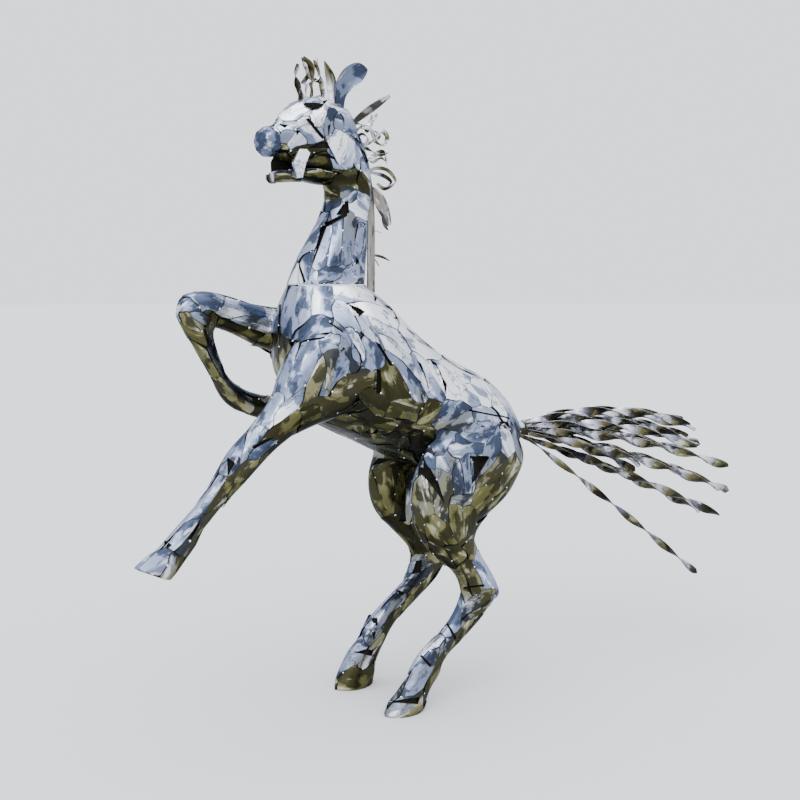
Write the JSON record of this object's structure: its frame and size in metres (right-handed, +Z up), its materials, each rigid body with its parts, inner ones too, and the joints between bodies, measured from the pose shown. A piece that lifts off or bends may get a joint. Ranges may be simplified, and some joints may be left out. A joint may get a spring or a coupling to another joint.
{
  "type": "horse garden statue",
  "caption": "Rearing horse statue welded from curved polished steel plates, standing on its hind hooves, with a fan of twisted steel strips for a tail.",
  "frame": {"origin": "middle of the whole object's box, on the plane of the two hind soles", "axes": "+Z up, the head towards -X and the tail towards +X, the horse's left side towards -Y"},
  "size_m": [3.1362, 0.55, 2.4152],
  "materials": {
    "polished_steel": "polished stainless plate, mottled light and slate blue-grey, with seams and bright weld dots",
    "strip_steel": "polished flat bar, twisted so that bright and dark stretches alternate",
    "muzzle_steel": "smooth rounded cups with a bluish heat tint"
  },
  "bodies": {
    "root": {"trunk": "polished_steel", "neck": "polished_steel", "head": "polished_steel", "lower_jaw": "polished_steel", "left_jaw_plate": "polished_steel", "right_jaw_plate": "polished_steel", "muzzle_cup": "muzzle_steel", "left_eye": "muzzle_steel", "right_eye": "muzzle_steel", "left_ear": "polished_steel", "right_ear": "polished_steel", "crest_bar": "polished_steel", "mane_1": "strip_steel", "mane_2": "strip_steel", "mane_3": "strip_steel", "mane_4": "strip_steel", "mane_5": "strip_steel", "mane_6": "strip_steel", "mane_7": "strip_steel", "forelock_1": "strip_steel", "forelock_2": "strip_steel", "forelock_3": "strip_steel", "forelock_4": "strip_steel", "left_upper_foreleg": "polished_steel", "left_fore_cannon": "polished_steel", "left_fore_hoof": "polished_steel", "right_upper_foreleg": "polished_steel", "right_fore_cannon": "polished_steel", "right_fore_hoof": "polished_steel", "left_thigh": "polished_steel", "left_hind_cannon": "polished_steel", "left_hind_hoof": "polished_steel", "right_thigh": "polished_steel", "right_hind_cannon": "polished_steel", "right_hind_hoof": "polished_steel", "tail_dock": "polished_steel", "tail_strip_01": "strip_steel", "tail_strip_02": "strip_steel", "tail_strip_03": "strip_steel", "tail_strip_04": "strip_steel", "tail_strip_05": "strip_steel", "tail_strip_06": "strip_steel", "tail_strip_07": "strip_steel", "tail_strip_08": "strip_steel", "tail_strip_09": "strip_steel", "tail_strip_10": "strip_steel", "tail_strip_11": "strip_steel", "tail_strip_12": "strip_steel", "tail_strip_13": "strip_steel", "tail_strip_14": "strip_steel", "tail_strip_15": "strip_steel", "tail_strip_16": "strip_steel", "tail_strip_17": "strip_steel", "tail_strip_18": "strip_steel", "tail_strip_19": "strip_steel", "tail_strip_20": "strip_steel", "tail_strip_21": "strip_steel"}
  },
  "joints": []
}
